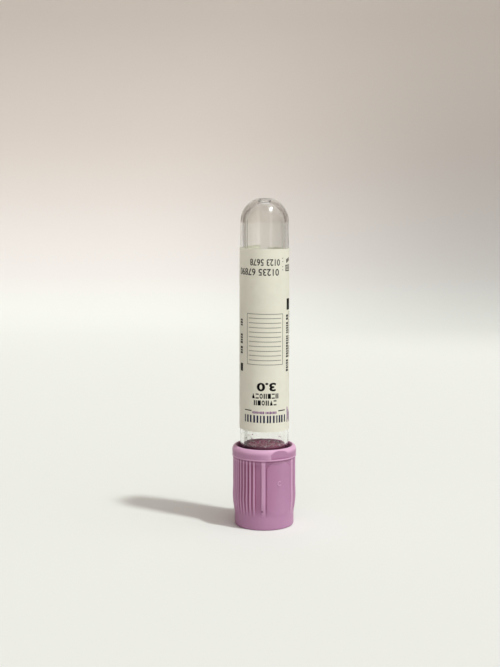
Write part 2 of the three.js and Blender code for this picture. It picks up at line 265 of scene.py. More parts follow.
class StageSettings(PropertyGroup):
    """Light, camera and backdrop."""

    sun_strength: amount("Sun strength", "Strength of the key light", 1.66)
    sun_size: angle("Sun size", "Angular size of the key light, which softens the shadow", 4.2)
    sun_turn: angle("Sun turn", "Turn of the key light, seen from the object", -33.5)
    sun_height: angle("Sun height", "Height of the key light over the floor", 61.3)
    ambient: amount("Ambient", "Strength of the even light outside the glow", 0.25)
    seen_ambient: amount("Seen ambient", "The same where it is seen through the tube", 0.95)
    glow: amount("Glow", "Strength of the glow's middle", 1.1)
    glow_turn: angle("Glow turn", "Turn of the glow's middle, seen from the object", -50)
    glow_height: angle("Glow height", "Height of the glow's middle over the floor", 48)
    glow_reach: angle("Glow reach", "From the glow's middle to its edge", 60)
    camera_distance: length("Camera distance", "From the axis to the camera, along Y", 328.6 * MM)
    camera_height: length("Camera height", "Height of the camera", 92.4 * MM)
    camera_side: length("Camera side", "How far the camera stands to the right", -3.7 * MM)
    camera_tilt: angle("Camera tilt", "How far the camera looks down", 7.33)
    lens: amount("Lens", "Focal length in millimetres for a 36 mm long side", 69.38)
    floor_front: length("Floor front", "From the axis to the floor's front edge", 900 * MM)
    wall_start: length("Wall start", "From the axis to where the floor curves up", 400 * MM)
    sweep_radius: length("Sweep radius", "Radius of that curve", 200 * MM)
    wall_height: length("Wall height", "Height of the backdrop", 800 * MM)
    half_width: length("Half width", "Half the width of the stage", 900 * MM)
    wall_blend: length("Wall blend", "Height over which the floor's colour fades", 34 * MM)
    wall_fade: length("Wall fade", "Height at which the backdrop has its own colour", 126 * MM)
    # A painted shadow on the backdrop's right, and a painted shade far out on both sides.
    painted_shadow: amount("Painted_shadow", "How much darker the backdrop is on the right", 0.46)
    painted_shadow_place: place("Dim place", "Middle of the dim part", (194 * MM, 566 * MM, 16 * MM))
    painted_shadow_reach: length("Dim reach", "Radius of the dim part", 291 * MM)
    side_painted_shade: amount("Side dimming", "How much darker both far sides are", 0.42)
    side_start: length("Side start", "From the middle to where both sides start to dim", 200 * MM)
    side_end: length("Side end", "From the middle to where both sides are dim", 500 * MM)


class CollectionTubeSettings(PropertyGroup):
    """All sizes, colours and stage settings."""

    tube: PointerProperty(type=TubeSizes)
    label: PointerProperty(type=LabelSizes)
    stopper: PointerProperty(type=StopperSizes)
    cap: PointerProperty(type=CapSizes)
    residue: PointerProperty(type=ResidueSizes)
    colours: PointerProperty(type=Colours)
    stage: PointerProperty(type=StageSettings)


# ---- Formulas --------------------------------------------------------------------------------

def smooth_step(value, low, high):
    """0 below low and 1 above high, with 3t^2 - 2t^3 between them."""
    t = np.clip((value - low) / (high - low), 0.0, 1.0)
    return t * t * (3.0 - 2.0 * t)


def smooth_min(a, b, width):
    """The lesser of a and b, rounded off: half of a + b - sqrt((a - b)^2 + width^2)."""
    return 0.5 * (a + b - np.sqrt((a - b) ** 2 + width**2))


def stretches(start, *stops):
    """Numbers from start through each (end, steps) stop, evenly spaced between the stops."""
    parts = [np.array([start])]
    for end, steps in stops:
        parts.append(np.linspace(parts[-1][-1], end, steps + 1)[1:])
    return np.concatenate(parts)


def arc(radius, height, reach, start, end, steps, rise=None):
    """Profile points on an ellipse: reach times the cosine out and rise times the sine up."""
    turn = np.radians(np.linspace(start, end, steps + 1))
    rise = reach if rise is None else rise
    return np.stack([radius + reach * np.cos(turn), height + rise * np.sin(turn)], axis=1)


def line(start, end, steps):
    """Profile points on the straight line from start to end, both (radius, height)."""
    share = np.linspace(0.0, 1.0, steps + 1)[:, None]
    return np.array(start) * (1 - share) + np.array(end) * share


def profile(*parts):
    """The parts one after another, without the points that repeat the one before them."""
    points = np.concatenate([np.atleast_2d(part) for part in parts])
    steps = np.linalg.norm(np.diff(points, axis=0), axis=1)
    return points[np.concatenate([[True], steps > 1e-7])]


def column_turns(columns):
    """The turn of each column of a full turn, which starts at the back."""
    return -FRONT_TURN + 2 * math.pi * np.arange(columns) / columns


def turned(radius, height, turn):
    """Points at a radius, height and turn: (radius cos turn, radius sin turn, height)."""
    radius, height, turn = np.broadcast_arrays(radius, height, turn)
    return np.stack([radius * np.cos(turn), radius * np.sin(turn), height], axis=-1)


# ---- Meshes ----------------------------------------------------------------------------------

def grid_quads(rows, columns, close_rows=False, close_columns=True):
    """Corners of a grid's quads. A closed direction joins its last line to its first."""
    row = np.arange(rows if close_rows else rows - 1)[:, None]
    column = np.arange(columns if close_columns else columns - 1)[None, :]
    next_row = (row + 1) % rows
    next_column = (column + 1) % columns
    corners = [
        row * columns + column,
        row * columns + next_column,
        next_row * columns + next_column,
        next_row * columns + column,
    ]
    return np.stack(corners, axis=-1).reshape(-1, 4)


def ring_surface(points):
    """Vertices and faces of rows x columns points that close both ways, like a ring."""
    rows, columns = points.shape[:2]
    return points.reshape(-1, 3), grid_quads(rows, columns, close_rows=True).tolist()


def spun_surface(points, columns):
    """Vertices and faces of a profile turned round Z, whose first and last point are on it."""
    rows = len(points) - 2
    grid = turned(points[:, :1], points[:, 1:], column_turns(columns)[None, :])
    vertices = np.concatenate([grid[1:-1].reshape(-1, 3), grid[0, :1], grid[-1, :1]])
    column = np.arange(columns)
    beside = (column + 1) % columns
    last = (rows - 1) * columns
    start_pole = np.full(columns, rows * columns)
    start_fan = np.stack([start_pole, beside, column], axis=1)
    end_fan = np.stack([start_pole + 1, last + column, last + beside], axis=1)
    faces = grid_quads(rows, columns).tolist() + start_fan.tolist() + end_fan.tolist()
    return vertices, faces


def link_object(name, data):
    """A new object in the scene, at the origin."""
    item = bpy.data.objects.new(name, data)
    bpy.context.scene.collection.objects.link(item)
    return item


def new_mesh(name, surface, material):
    """A smooth-shaded mesh of a surface.

    The surface holds vertices, faces and sometimes a value of painted light and shade for each
    vertex, which the material may read.
    """
    vertices, faces, *painted_light = surface
    mesh = bpy.data.meshes.new(name)
    mesh.from_pydata(vertices, [], faces)
    mesh.shade_smooth()
    mesh.materials.append(material)
    for values in painted_light:
        mesh.attributes.new("painted_light", "FLOAT", "POINT").data.foreach_set("value", values)
    if mesh.validate():
        raise RuntimeError(f"{name} has faces that can't be drawn")
    return mesh


def add_piece(name, surface, material, body, nodes=()):
    """An object of the surface that rides on a body, with its sharp edges marked."""
    mesh = new_mesh(name, surface, material)
    mesh.set_sharp_from_angle(angle=SHARP_EDGE)
    piece = link_object(name, mesh)
    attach(piece, body)
    if nodes:
        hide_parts(*nodes)
    return piece


def thicken(piece, thickness):
    """Gives a sheet its thickness, inwards from its outer face."""
    solidify = piece.modifiers.new("Thickness", "SOLIDIFY")
    solidify.thickness = thickness
    solidify.offset = -1
    solidify.use_even_offset = False


# ---- Materials -------------------------------------------------------------------------------

class Signal:
    """A number or colour that varies over a surface. Arithmetic on it adds Math nodes."""

    def __init__(self, graph, socket):
        self.graph = graph
        self.socket = socket

    def __add__(self, other):
        return self.graph.math("ADD", self, other)

    def __sub__(self, other):
        return self.graph.math("SUBTRACT", self, other)

    def __rsub__(self, other):
        return self.graph.math("SUBTRACT", other, self)

    def __mul__(self, other):
        return self.graph.math("MULTIPLY", self, other)

    __radd__ = __add__
    __rmul__ = __mul__


class Graph:
    """The nodes of a material or world. node() adds any node: settings first, then sockets."""

    def __init__(self, owner):
        owner.use_nodes = True
        self.owner = owner
        self.tree = owner.node_tree
        self.tree.nodes.clear()

    def node(self, kind, settings=None, sockets=None, output=0):
        """A node's output. Stops given as (position, colour) pairs fill a ramp."""
        node = self.tree.nodes.new(kind)
        for name, value in (settings or {}).items():
            if name == "stops":
                self.fill_ramp(node.color_ramp, value)
            else:
                setattr(node, name, value)
        for name, value in (sockets or {}).items():
            if isinstance(value, Signal):
                self.tree.links.new(value.socket, node.inputs[name])
            else:
                node.inputs[name].default_value = value
        return Signal(self, node.outputs[output])

    @staticmethod
    def fill_ramp(ramp, stops):
        """Sets a ramp's stops, the first two of which it has already."""
        for index, (position, value) in enumerate(stops):
            stop = ramp.elements[index] if index < 2 else ramp.elements.new(position)
            stop.position = position
            stop.color = (*value, 1)

    def math(self, operation, *values):
        """A Math node's result."""
        return self.node("ShaderNodeMath", {"operation": operation}, dict(enumerate(values)))

    def vector_math(self, operation, first, second):
        """A number from two vectors, such as their distance or their dot product."""
        settings, sockets = {"operation": operation}, {0: first, 1: second}
        return self.node("ShaderNodeVectorMath", settings, sockets, output="Value")

    def place(self):
        """Object coordinates, in metres."""
        return self.node("ShaderNodeTexCoord", output="Object")

    def axes(self):
        """X, Y and Z of the object coordinates."""
        split = self.node("ShaderNodeSeparateXYZ", sockets={"Vector": self.place()})
        return [Signal(self, socket) for socket in split.socket.node.outputs]

    def from_axis(self):
        """Distance from Z: the square root of x^2 + y^2."""
        x, y, _ = self.axes()
        return self.math("SQRT", x * x + y * y)

    def noise(self, size, detail=2.0, roughness=0.5, stretch=(1, 1, 1)):
        """Cloudy noise whose patches are about size metres across, from 0 to 1."""
        place = self.node("ShaderNodeMapping", sockets={"Vector": self.place(), "Scale": stretch})
        sockets = {"Vector": place, "Scale": 1 / size, "Detail": detail, "Roughness": roughness}
        return self.node("ShaderNodeTexNoise", sockets=sockets)

    def step(self, value, low, high):
        """A smooth step of a value: 0 below low and 1 above high, or reversed if low > high."""
        sockets = {"Value": value, "From Min": low, "From Max": high}
        return self.node("ShaderNodeMapRange", {"interpolation_type": "SMOOTHSTEP"}, sockets)

    def near(self, centre, inner, outer):
        """1 within the inner distance of a point, falling to 0 at the outer one."""
        return self.step(self.vector_math("DISTANCE", self.place(), centre), outer, inner)

    def mix(self, share, first, second):
        """The first colour where the share is 0 and the second where it is 1."""
        sockets = {0: share, 6: first, 7: second}
        return self.node("ShaderNodeMix", {"data_type": "RGBA"}, sockets, output=2)

    def bump(self, height, distance, strength=1.0):
        """A normal from a height that goes from 0 to 1 over the distance."""
        sockets = {"Height": height, "Distance": distance, "Strength": strength}
        return self.node("ShaderNodeBump", sockets=sockets)

    def surface(self, sockets):
        """A Principled shader with those socket values."""
        return self.node("ShaderNodeBsdfPrincipled", sockets=sockets)

    def mix_shaders(self, share, first, second):
        """The first shader where the share is 0 and the second where it is 1."""
        return self.node("ShaderNodeMixShader", sockets={0: share, 1: first, 2: second})

    def finish(self, shader, kind="ShaderNodeOutputMaterial"):
        """Links a shader to the output and gives the finished material or world."""
        self.tree.links.new(shader.socket, self.tree.nodes.new(kind).inputs["Surface"])
        return self.owner


def new_material(name):
    """The graph of a new material."""
    return Graph(bpy.data.materials.new(name))


def rgba(rgb, scale=1.0):
    """A colour as four numbers, made darker or lighter by a scale."""
    return (*(value * scale for value in rgb), 1.0)


def cap_plastic(sizes, colours):
    """Moulded lilac plastic with a fine grain, faint flow waves and one speck of dirt.

    Its colour follows the painted light and shade, with faint clouds over it: a painted shade where
    the value is 0, the cap's own colour where it is a half and a painted highlight where it is 1.
    """
    clouding = 0.05
    grain_share = 0.35
    speck_turn = FRONT_TURN + math.radians(-4.2)
    speck_radius = sizes.foot_radius + 0.1 * MM
    speck_height = 5.1 * MM
    speck_core, speck_edge, speck_cover = 0.1 * MM, 0.42 * MM, 0.85

    graph = new_material("cap_plastic")
    # Painted light and shade, read from the mesh.
    painted_light = graph.node("ShaderNodeAttribute", {"attribute_name": "painted_light"}, output="Fac")
    clouds = graph.step(graph.noise(5 * MM, detail=3, stretch=(1, 1, 0.6)), 0.3, 0.7)
    grain = graph.noise(0.16 * MM, detail=3, roughness=0.6)
    flow = graph.noise(1.6 * MM, detail=2, stretch=(1, 1, 0.25))
    light_and_clouds = painted_light + (clouds - 0.5) * clouding
    stops = [(0.0, colours.cap_painted_shade), (PLAIN, colours.cap), (1.0, colours.cap_painted_highlight)]
    tone = graph.node("ShaderNodeValToRGB", {"stops": stops}, {"Fac": light_and_clouds})
    speck = (speck_radius * math.cos(speck_turn), speck_radius * math.sin(speck_turn), speck_height)
    dirt = graph.near(speck, speck_core, speck_edge) * speck_cover
    tone = graph.mix(dirt, tone, rgba(colours.dirt))
    height = grain * grain_share + flow * (1 - grain_share)
    return graph.finish(graph.surface({
        "Base Color": tone,
        "Roughness": 0.27 + 0.1 * grain,
        "Specular IOR Level": 0.12,
        "Normal": graph.bump(height, 0.012 * MM),
    }))


def stopper_rubber(colours):
    """Mauve rubber with a rough skin, mottled by its bloom and by pale specks.

    A painted shade darkens it from the dish's floor outwards, and a deeper painted shade lies on the
    plug's side, in a band just below the face.
    """
    bloom_dark, bloom_pale = 0.5, 1.1
    speck_cover, rim_cover = 0.7, 0.9
    rim_shade, side_shade = 0.2, 0.14
    rim_start, rim_end = 3.6 * MM, 4.6 * MM
    side_start, side_end = 4.7 * MM, 4.95 * MM
    band_top, band_full, band_fading, band_foot = 0.05 * MM, 0.2 * MM, 1.0 * MM, 1.5 * MM

    graph = new_material("stopper_rubber")
    stopper = colours.stopper
    bloom = graph.step(graph.noise(0.9 * MM, detail=4, roughness=0.65), 0.35, 0.75)
    grain = graph.noise(0.18 * MM, detail=3, roughness=0.6)
    specks = graph.step(graph.noise(0.5 * MM, detail=1), 0.6, 0.68)
    tone = graph.mix(bloom, rgba(stopper, bloom_dark), rgba(stopper, bloom_pale))
    tone = graph.mix(specks * speck_cover, tone, rgba(colours.residue))
    height = graph.axes()[2]
    radius = graph.from_axis()
    # Painted shade towards the face's edge and on the plug's side.
    rim = graph.step(radius, rim_start, rim_end)
    tone = graph.mix(rim * rim_cover, tone, rgba(stopper, rim_shade))
    below_face = STOPPER_HIGH.z - height
    band = graph.step(below_face, band_top, band_full) * graph.step(below_face, band_foot, band_fading)
    side = band * graph.step(radius, side_start, side_end)
    tone = graph.mix(side, tone, rgba(stopper, side_shade))
    return graph.finish(graph.surface({
        "Base Color": tone,
        "Roughness": 0.6 + 0.25 * grain,
        "Specular IOR Level": 0.12,
        "Normal": graph.bump(grain, 0.05 * MM),
    }))


def painted_light_streaks(graph):
    """Painted light: 1 on the middle of two upright pale streaks up the tube's front, and 0 beside
    them.
    """
    x, y, _ = graph.axes()
    core = 0.1 * MM
    on_front = graph.step(y, 0.0, -1.0 * MM)
    masks = []
    for middle, half_width in ((-1.6 * MM, 0.7 * MM), (1.5 * MM, 0.55 * MM)):
        from_middle = graph.math("ABSOLUTE", x - middle)
        masks.append(graph.step(from_middle, half_width, core) * on_front)
    return masks


def dark_line_mask(graph, sizes):
    """1 on a painted dark line that stands in for a dark refraction, in a narrow band at its turn, up
    to the round end.
    """
    core, half_width = 0.06 * MM, 0.26 * MM
    fading, end = dome_height(sizes) - 0.5 * MM, dome_height(sizes) + 1.5 * MM
    x, y, height = graph.axes()
    dark_line_x = sizes.dome_radius * math.cos(sizes.dark_line_turn)
    dark_line_y = sizes.dome_radius * math.sin(sizes.dark_line_turn)
    along_wall = (x - dark_line_x) * -math.sin(sizes.dark_line_turn) + (y - dark_line_y) * math.cos(sizes.dark_line_turn)
    on_line = graph.step(graph.math("ABSOLUTE", along_wall), half_width, core)
    near_side = graph.step(x * dark_line_x + y * dark_line_y, 0.0, 0.1 * sizes.dome_radius**2)
    return on_line * near_side * graph.step(height, end, fading)


def gate_masks(graph, sizes):
    """1 inside the gate's bowl, and 1 on the outer part of its floor, which gets a painted shade."""
    ring_start, ring_full = 1.15 * MM, 1.3 * MM
    bowl_foot, bowl_full = TUBE_HIGH.z - 0.8 * MM, TUBE_HIGH.z - 0.6 * MM
    height = graph.axes()[2]
    radius = graph.from_axis()
    inside = graph.step(radius, sizes.gate_radius, 0.9 * sizes.gate_radius)
    bowl = inside * graph.step(height, bowl_foot, bowl_full)
    return bowl, bowl * graph.step(radius, ring_start, ring_full)


def clear_polyester(sizes, colours):
    """Clear moulded plastic that is clearest at both ends of the tube and slightly rippled.

    Hazy flow streaks run up the wall and grow stronger above the label, and a painted shade darkens
    the left side. Two painted light streaks on the front are clearer, and a narrow painted dark line
    down the front left stands in for a dark refraction. The gate's bowl is rough, with a painted
    shade in a ring round its floor. The tube's shadow is that of a pale window.
    """
    streak_low, streak_rise, left_painted_shade = 0.03, 0.22, 0.2
    left_start, left_end = -1.5 * MM, -4.5 * MM
    light_streak_cover, dark_line_cover, gate_shade_cover = 0.9, 0.8, 0.8
    dome_start, dome_full = dome_height(sizes) - 1.0 * MM, dome_height(sizes) + 3.0 * MM

    graph = new_material("clear_polyester")
    x, _, height = graph.axes()
    clear, haze_and_shade = rgba(colours.polyester_clear), rgba(colours.haze_and_shade)
    ripple = graph.noise(1.5 * MM, detail=1, stretch=(1, 1, 0.4))
    streaks = graph.step(graph.noise(1.5 * MM, detail=2, stretch=(1, 1, 0.03)), 0.25, 0.75)
    up_label = graph.step(height, LABEL_LOW.z, LABEL_HIGH.z)
    in_dome = graph.step(height, dome_start, dome_full)
    bowl, ring = gate_masks(graph, sizes)
    tone = graph.mix(up_label, clear, rgba(colours.polyester))
    tone = graph.mix(in_dome, tone, clear)
    tone = graph.mix(streaks * (streak_low + streak_rise * up_label), tone, haze_and_shade)
    # Painted shade: the left side of the clear wall is darker.
    tone = graph.mix(graph.step(x, left_start, left_end) * left_painted_shade, tone, haze_and_shade)
    # Painted light: two clearer streaks on the front.
    for light_streak in painted_light_streaks(graph):
        tone = graph.mix(light_streak * light_streak_cover, tone, clear)
    # Painted shade: the dark line down the front left.
    tone = graph.mix(dark_line_mask(graph, sizes) * dark_line_cover, tone, rgba(colours.seam))
    # Painted shade round the floor of the gate's bowl.
    tone = graph.mix(ring * gate_shade_cover, tone, rgba(colours.gate_painted_shade))
    glass = graph.surface({
        "Base Color": tone,
        "Roughness": 0.02 + 0.04 * up_label + 0.08 * in_dome + 0.6 * bowl,
        "IOR": 1.4,
        "Transmission Weight": 1.0,
        "Normal": graph.bump(ripple * (1 + 2 * in_dome), 0.045 * MM, 0.8),
    })
    window = graph.node("ShaderNodeBsdfTransparent", sockets={"Color": rgba(colours.tube_shadow)})
    shadow_ray = graph.node("ShaderNodeLightPath", output="Is Shadow Ray")
    return graph.finish(graph.mix_shaders(shadow_ray, glass, window))


def label_paper(paper):
    """Cream coated paper, fibrous and slightly wavy, that some light shows through."""
    fibre_share, light_through = 0.12, 0.2
    shade_dark, shade_pale = 0.965, 1.02

    graph = new_material("label_paper")
    fibre = graph.noise(0.22 * MM, detail=4, roughness=0.7, stretch=(1, 1, 2.5))
    clouds = graph.noise(2.5 * MM, detail=2)
    wave = graph.noise(6 * MM, detail=1, stretch=(1, 1, 0.5))
    shade = graph.step(clouds * 0.6 + fibre * 0.4, 0.3, 0.7)
    sheet = graph.surface({
        "Base Color": graph.mix(shade, rgba(paper, shade_dark), rgba(paper, shade_pale)),
        "Roughness": 0.5 + 0.15 * fibre,
        "Normal": graph.bump(fibre * fibre_share + wave * (1 - fibre_share), 0.03 * MM),
    })
    glow = graph.node("ShaderNodeBsdfTranslucent", sockets={"Color": rgba(paper)})
    return graph.finish(graph.mix_shaders(light_through, sheet, glow))


def printing_ink(name, ink):
    """Slightly uneven, half-matt ink."""
    unevenness = 0.006
    graph = new_material(name)
    coverage = graph.noise(0.12 * MM, detail=2, roughness=0.6)
    thin_ink = rgba([value + unevenness for value in ink])
    return graph.finish(graph.surface({
        "Base Color": graph.mix(graph.step(coverage, 0.4, 0.8), rgba(ink), thin_ink),
        "Roughness": 0.5 + 0.15 * coverage,
        "Specular IOR Level": 0.08,
    }))


def dried_additive(residue):
    """Pale, glossy crystals of dried additive."""
    frost_dark, frost_pale = 0.7, 1.2
    graph = new_material("dried_additive")
    frost = graph.noise(0.08 * MM, detail=2)
    return graph.finish(graph.surface({
        "Base Color": graph.mix(frost, rgba(residue, frost_dark), rgba(residue, frost_pale)),
        "Roughness": 0.16 + 0.2 * frost,
        "Normal": graph.bump(frost, 0.02 * MM),
    }))


def studio_paper(colours, stage):
    """Floor colour below, wall colour above, a painted shadow on the right, painted shade far out."""
    graph = new_material("studio_paper")
    x, _, height = graph.axes()
    on_wall = graph.step(height, 0.0, stage.wall_blend)
    tone = graph.mix(on_wall, rgba(colours.floor), rgba(colours.wall_foot))
    tone = graph.mix(graph.step(height, 0.0, stage.wall_fade), tone, rgba(colours.wall_top))
    # Painted shadow on the right, and painted shade far out on both sides.
    patch = graph.near(stage.painted_shadow_place, 0.0, stage.painted_shadow_reach) * stage.painted_shadow
    across = graph.math("ABSOLUTE", x)
    sides = graph.step(across, stage.side_start, stage.side_end) * stage.side_painted_shade
    tone = graph.mix(graph.math("MAXIMUM", patch, sides), tone, (0.0, 0.0, 0.0, 1.0))
    return graph.finish(graph.surface({"Base Color": tone, "Roughness": 0.9}))


# ---- Cap -------------------------------------------------------------------------------------

def wall_radius(height, cap):
    """The smooth wall: the foot, a smooth step out to the swell, and one in to the body."""
    swell = (cap.swell_radius - cap.foot_radius) * smooth_step(height, cap.foot_top, cap.swell_height)
    settled = smooth_step(height, cap.swell_height, cap.body_start)
    settle = (cap.body_radius - cap.swell_radius) * settled
    return cap.foot_radius + swell + settle


def crest_rise(height, cap):
    """How far a crest stands out of the wall: the rib height times t(2 - t) up the run-out."""
    t = np.clip((height - cap.rib_foot) / cap.rib_run_out, 0.0, 1.0)
    return cap.rib_height * t * (2.0 - t)


def bar_section(across, crest, base):
    """Section of a rib or bead: 1 over its crest, and a smooth step down to 0 at its base."""
    return 1.0 - smooth_step(np.abs(across), crest / 2, base / 2)


def pad_turn(turn, cap):
    """Turn from the middle of the nearer pad, from a quarter turn back to a quarter on."""
    quarter = math.pi / 2
    return (turn - FRONT_TURN - cap.grip_turn + quarter) % math.pi - quarter


def bar_relief(turn, cap):
    """Ribs and beads, and where the ribs stand.

    Each bar is a bar section across its distance from the nearest one's middle.
    """
    from_side = math.pi / 2 - np.abs(turn)
    number = np.floor(from_side / cap.rib_pitch)
    ribbed = number < cap.ribs / 2
    across_rib = (from_side - (number + 0.5) * cap.rib_pitch) * cap.body_radius
    ribs = bar_section(across_rib, cap.rib_crest, cap.rib_base) * ribbed
    across_bead = (np.abs(turn) - cap.bead_angle) * (cap.body_radius + cap.rib_height)
    return np.maximum(ribs, bar_section(across_bead, cap.bead_crest, cap.bead_base)), ribbed


def pad_mask(turn, height, collar_base, cap):
    """1 on a pad and 0 off it: a smooth step of the distance inside its sides and round arch."""
    across = cap.pad_front * np.sin(turn)
    arch = (cap.pad_width**2 + cap.pad_shoulder**2) / (2 * cap.pad_shoulder)
    over_centre = np.maximum(height - (collar_base - arch), 0.0)
    inside = np.minimum(cap.pad_width - np.abs(across), arch - np.hypot(across, over_centre))
    return smooth_step(inside, -cap.pad_edge, cap.pad_edge)


def pad_radius(turn, cap):
    """A pad's face: a circle of the crown's radius whose front is pad_front from the axis."""
    offset = cap.pad_crown - cap.pad_front
    return np.sqrt(cap.pad_crown**2 - (offset * np.sin(turn)) ** 2) - offset * np.cos(turn)


def pin_mark(turn, height, cap):
    """The rim of a pin mark: a narrow ring that is open on its right side.

    Smooth steps of the distance from the ring and of the angle round the mark give its section
    and its two ends.
    """
    lower_end, upper_end = (-50, -15), (25, 55)
    crest, foot = 0.04 * MM, 0.2 * MM
    across = cap.pad_front * np.sin(turn)
    up = height - cap.mark_height
    round_mark = np.degrees(np.arctan2(up, across))
    opening = smooth_step(round_mark, *lower_end) * (1 - smooth_step(round_mark, *upper_end))
    from_ring = np.abs(np.hypot(across, up) - cap.mark_radius)
    return cap.mark_rise * (1 - smooth_step(from_ring, crest, foot)) * (1 - opening)


def on_left(from_pad):
    """1 on the left of a pad's middle and 0 on its right, with a short smooth step between."""
    half_fade = 0.1
    return smooth_step(from_pad, half_fade, -half_fade)


def grip(turn, height, collar_base, cap):
    """The gripped wall's radius and painted light and shade.

    The radius is the wall's, plus ribs and beads, moved to the pad's face where the pad's mask is
    1. The painted light is plain on the bare wall and on a pad. As the ribs grow it is a painted
    highlight on their crests and a painted shade between them, less on the right of each pad. A
    painted shade lies along the pad's edge, where the mask is a half, and towards the pad's left
    side. Painted light lies just under the collar and on the pin mark's rim.
    """
    crest_lift, gap_fall, rib_gap_fall, right_share = 0.2, 0.19, 0.25, 0.4
    edge_fall, left_edge_lift, side_fall = 0.22, 0.14, 0.12
    top_lift, mark_lift = 0.14, 0.25
    lift_start, lift_full = collar_base - 1.3 * MM, collar_base - 0.5 * MM
    blend = 0.04 * MM

    wall = wall_radius(height, cap)
    rise = crest_rise(height, cap)
    from_pad = pad_turn(turn, cap)
    bars, ribbed = bar_relief(from_pad, cap)
    mask = pad_mask(from_pad, height, collar_base, cap)
    first_pad = np.cos(turn - FRONT_TURN - cap.grip_turn) > 0
    mark = pin_mark(from_pad, height, cap) * first_pad
    face = smooth_min(pad_radius(from_pad, cap), wall + rise, blend) - wall + mark
    radius = wall + rise * bars + face * mask

    growth = rise / cap.rib_height
    left = on_left(from_pad)
    gap = (gap_fall + rib_gap_fall * ribbed) * (right_share + (1 - right_share) * left)
    edge_line = 4.0 * mask * (1.0 - mask)
    across = cap.pad_front * np.sin(from_pad)
    side = smooth_step(across, 0.3 * cap.pad_width, -cap.pad_width)
    painted_light = PLAIN + growth * ((crest_lift + gap) * bars - gap) * (1.0 - mask)
    painted_light -= growth * (edge_fall - left_edge_lift * left) * edge_line
    painted_light += top_lift * smooth_step(height, lift_start, lift_full)
    painted_light -= side_fall * growth * mask * side
    return radius, painted_light + mark_lift * mask * mark / cap.mark_rise


def trimmed(radius, height, turn, top, cap):
    """The collar's radius, cut by the upright plane above each pad, and its painted light and shade.

    The plane's radius is its distance / cos(turn). The painted light is just under plain on the
    plane, with a painted shade at the plane's foot. A painted highlight lies over the rolled crown
    as far as the plane's edge. Outside the plane's left edge a painted highlight falls as an
    exponential of the distance.
    """
    plane_painted_light, crown_lift, foot_fall = 0.47, 0.45, 0.09
    beside_lift, edge_lift, edge_reach = 0.1, 0.24, 0.5 * MM
    crown_start, crown_full = top - 1.15 * cap.crown_drop, top - 0.35 * cap.crown_drop
    foot_start, foot_full = top - 1.3 * cap.crown_drop, top - 1.9 * cap.crown_drop
    cut_start, cut_full = 0.04 * MM, 0.18 * MM
    blend = 0.02 * MM

    flat = (cap.collar_radius - cap.collar_trim) / np.cos(pad_turn(turn, cap))
    flat = np.minimum(flat, 2 * cap.collar_radius)
    crown = smooth_step(height, crown_start, crown_full)
    foot = smooth_step(height, foot_start, foot_full)
    outside = smooth_step(flat - radius, -blend, blend)
    beside = outside * (beside_lift + edge_lift * np.exp((radius - flat) / edge_reach))
    uncut = 1.0 - smooth_step(radius - flat, cut_start, cut_full)
    painted_light = plane_painted_light + crown_lift * crown * uncut
    painted_light += beside * on_left(pad_turn(turn, cap)) * (1 - crown)
    painted_light -= foot_fall * foot * (1 - outside)
    return smooth_min(radius, flat, blend), painted_light


def foot_profile(cap):
    """From the opening's chamfer out along the foot, and a quarter circle round its edge."""
    chamfer_end = cap.opening_radius + cap.opening_chamfer
    flat_end = cap.foot_radius - cap.foot_round
    return profile(
        line((cap.opening_radius, cap.opening_chamfer), (chamfer_end, 0), 2),
        line((chamfer_end, 0), (flat_end, 0), 4),
        arc(flat_end, cap.foot_round, cap.foot_round, -90, 0, 6),
    )


def lip_profile(base, cap):
    """The fine lip under the collar: two quarter circles."""
    edge = cap.edge_round
    lip_top = base + cap.lip_height
    return profile(
        arc(cap.collar_radius - edge, base + edge, edge, -90, 0, 3),
        arc(cap.collar_radius - edge, lip_top - edge, edge, 0, 90, 3),
    )


def collar_profile(base, top, cap):
    """From the lip straight up the collar's side, and a quarter ellipse over to the crown."""
    half_edge = 0.5 * cap.edge_round
    lip_top = base + cap.lip_height
    side = cap.collar_radius - cap.lip_step
    crown_base = top - cap.crown_drop
    return profile(
        (side - half_edge, lip_top),
        line((side, lip_top + half_edge), (cap.collar_radius, crown_base), 4),
        arc(cap.crown_radius, crown_base, cap.collar_radius - cap.crown_radius,
            0, 90, 12, rise=cap.crown_drop),
    )


def inside_profile(top, cap):
    """From the crown down the bore, over the ring that holds the stopper, and to the opening."""
    bore_top = top - cap.crown_inner_drop
    snap_middle = cap.snap_base + cap.snap_height / 2
    return profile(
        arc(cap.crown_radius, bore_top, cap.crown_radius - cap.bore,
            90, 180, 6, rise=cap.crown_inner_drop),
        line((cap.bore, bore_top), (cap.bore, cap.snap_base + cap.snap_height), 6),
        line((cap.bore, cap.snap_base + cap.snap_height), (cap.snap_radius, snap_middle), 2),
        (cap.snap_radius, cap.snap_base),
        line((cap.bore, cap.snap_base), (cap.bore, cap.floor), 3),
        line((cap.bore, cap.floor), (cap.opening_radius, cap.floor), 2),
        line((cap.opening_radius, cap.floor), (cap.opening_radius, cap.opening_chamfer), 3)[:-1],
    )


